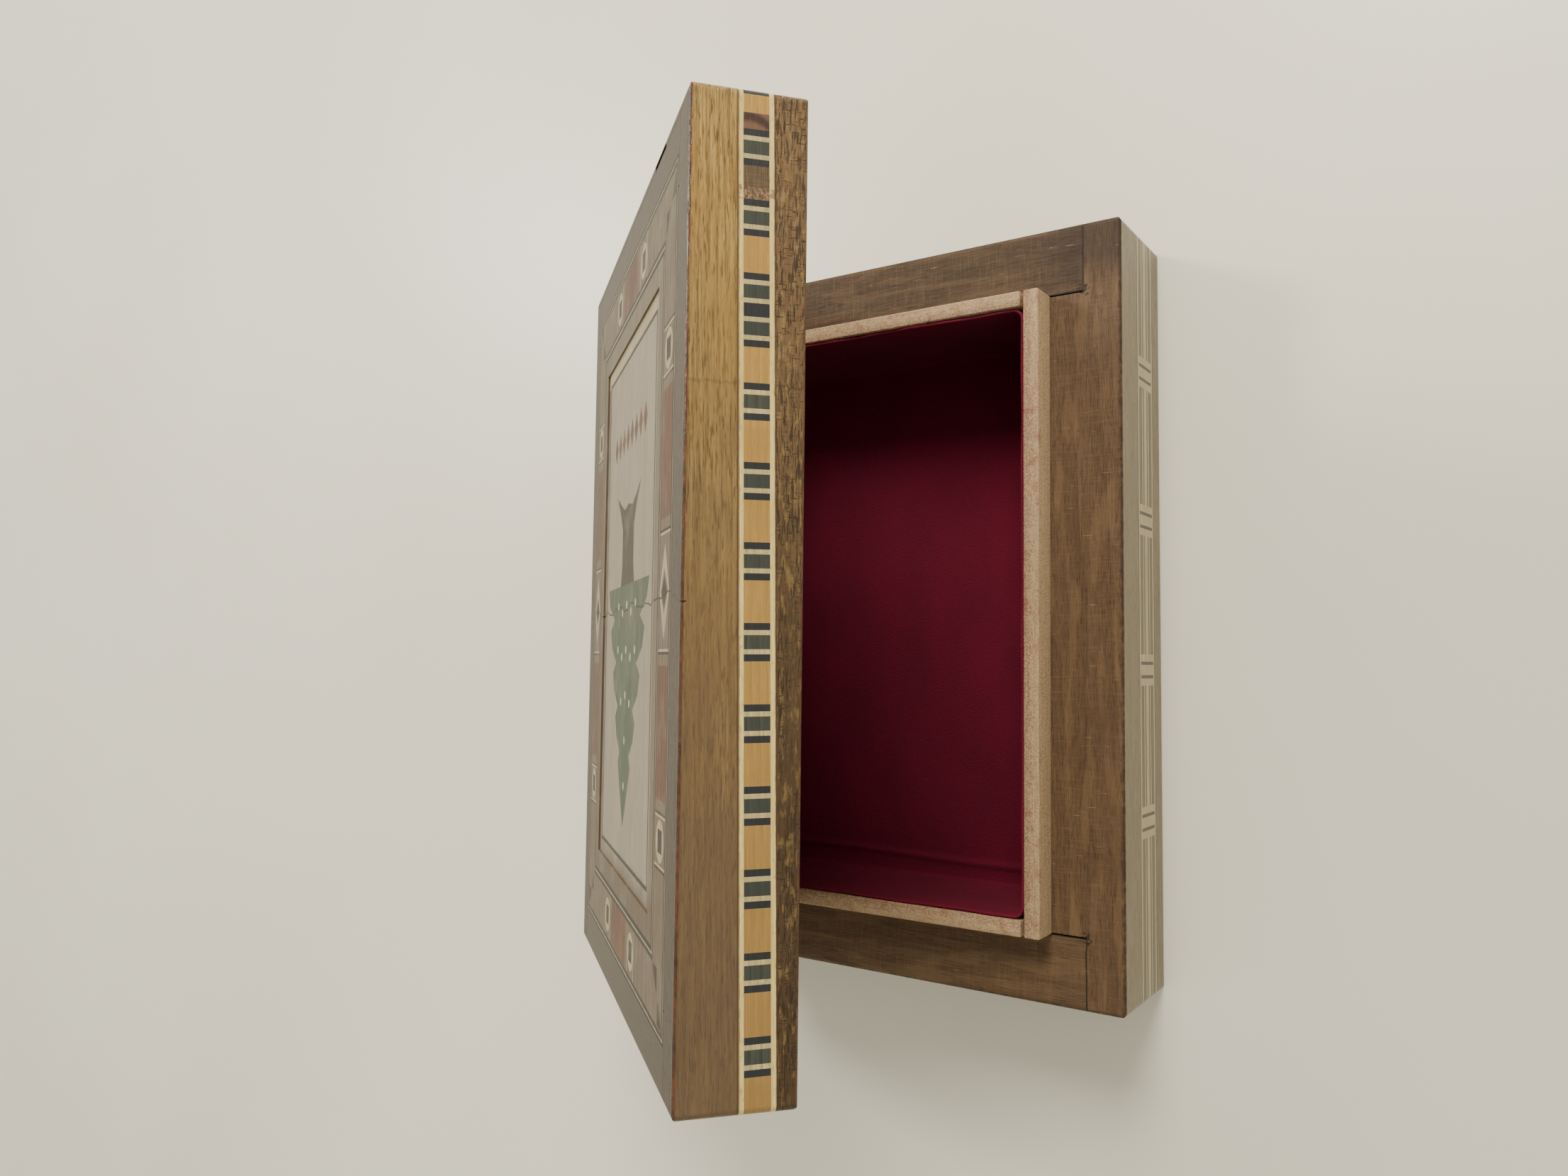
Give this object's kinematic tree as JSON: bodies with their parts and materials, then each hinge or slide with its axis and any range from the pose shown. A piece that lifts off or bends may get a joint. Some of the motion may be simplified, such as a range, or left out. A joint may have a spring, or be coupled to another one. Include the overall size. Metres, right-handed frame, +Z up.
{
  "type": "wooden puzzle box",
  "caption": "Hinged wooden box with an inlaid lid showing a conifer, a velvet-lined tray with a raised lip, and a bolt hidden behind a lifting end panel.",
  "frame": {"origin": "centre of the underside of the base, on the surface that the box stands on", "axes": "+X along the length towards the end with the hidden lock, -Y towards the front, +Z up"},
  "size_m": [0.21, 0.1716, 0.1515],
  "materials": {
    "base_walnut": "bare planed walnut on the rims, waxed outside",
    "bottom_board": "plain planed board",
    "liner_beech": "bare sanded light wood",
    "velvet": "deep crimson flocked velvet",
    "base_veneer": "grey-brown veneer, satin varnish",
    "cream_veneer": "cream maple stringing, satin varnish",
    "dark_veneer": "black-dyed veneer, satin varnish",
    "green_veneer": "green-grey dyed veneer, satin varnish",
    "orange_veneer": "honey-coloured olive wood, satin varnish",
    "mended_veneer": "dark brown end-grain walnut, worn",
    "lid_walnut": "glossy varnished walnut",
    "panel_walnut": "glossy varnished walnut, worn along its edge",
    "lid_board": "plain board",
    "border_veneer": "pale veneer, gloss varnish",
    "redwood_veneer": "red-brown veneer, gloss varnish",
    "motif_veneer": "dark brown veneer, gloss varnish",
    "margin_veneer": "light brown veneer, gloss varnish",
    "picture_veneer": "pale veneer, gloss varnish",
    "canopy_veneer": "green-dyed veneer, gloss varnish",
    "trunk_veneer": "brown veneer, gloss varnish",
    "lozenge_veneer": "red-brown veneer, gloss varnish",
    "boxwood": "bare planed boxwood",
    "brass": "dull tarnished brass",
    "screw_brass": "brass screws"
  },
  "bodies": {
    "base": {"base_front": "base_walnut", "base_back": "base_walnut", "base_left": "base_walnut", "base_right": "base_walnut", "base_bottom": "bottom_board", "liner_front": "liner_beech", "liner_back": "liner_beech", "liner_left": "liner_beech", "liner_right": "liner_beech", "velvet_floor": "velvet", "velvet_walls": "velvet", "base_stringing": "cream_veneer", "base_band_ground": "base_veneer", "base_band_pale": "cream_veneer", "base_band_dark": "dark_veneer", "hinge_leaves_base": "brass", "hinge_pins": "brass", "hinge_screws_base": "screw_brass"},
    "lid": {"lid_front": "lid_walnut", "lid_back": "lid_walnut", "lid_left": "lid_walnut", "lid_right": "lid_walnut", "lid_top_board": "lid_board", "lid_lining": "velvet", "outer_line_dark": "motif_veneer", "outer_line_pale": "cream_veneer", "band_ground": "border_veneer", "band_redwood": "redwood_veneer", "band_dark": "motif_veneer", "band_pale": "cream_veneer", "inner_line_pale": "cream_veneer", "inner_line_dark": "motif_veneer", "top_margin": "margin_veneer", "picture_ground": "picture_veneer", "picture_edging": "cream_veneer", "tree_canopy": "canopy_veneer", "tree_dots": "cream_veneer", "tree_trunk": "trunk_veneer", "picture_lozenges": "lozenge_veneer", "front_band_lines": "cream_veneer", "front_band_dark": "dark_veneer", "front_band_cream": "cream_veneer", "front_band_green": "green_veneer", "front_band_orange": "orange_veneer", "front_band_brown": "mended_veneer", "bolt_keeper": "brass", "keeper_screws": "screw_brass", "hinge_leaves_lid": "brass", "hinge_screws_lid": "screw_brass"},
    "end_panel": {"end_panel": "panel_walnut"},
    "bolt": {"bolt_bar": "boxwood", "bolt_tongue": "brass", "bolt_pin": "brass"}
  },
  "joints": [
    {"name": "lid_hinge", "type": "hinge", "parent": "base", "child": "lid", "pos_m": [0, 0.0756, 0.03415], "axis": [-1, 0, 0], "range_deg": [-39.5, 65.5]},
    {"name": "panel_lift", "type": "slide", "parent": "lid", "child": "end_panel", "axis": [0, 0.6361, 0.7716], "range_m": [0, 0.016]},
    {"name": "bolt_slide", "type": "slide", "parent": "lid", "child": "bolt", "axis": [0, -0.7716, 0.6361], "range_m": [0, 0.007]}
  ]
}
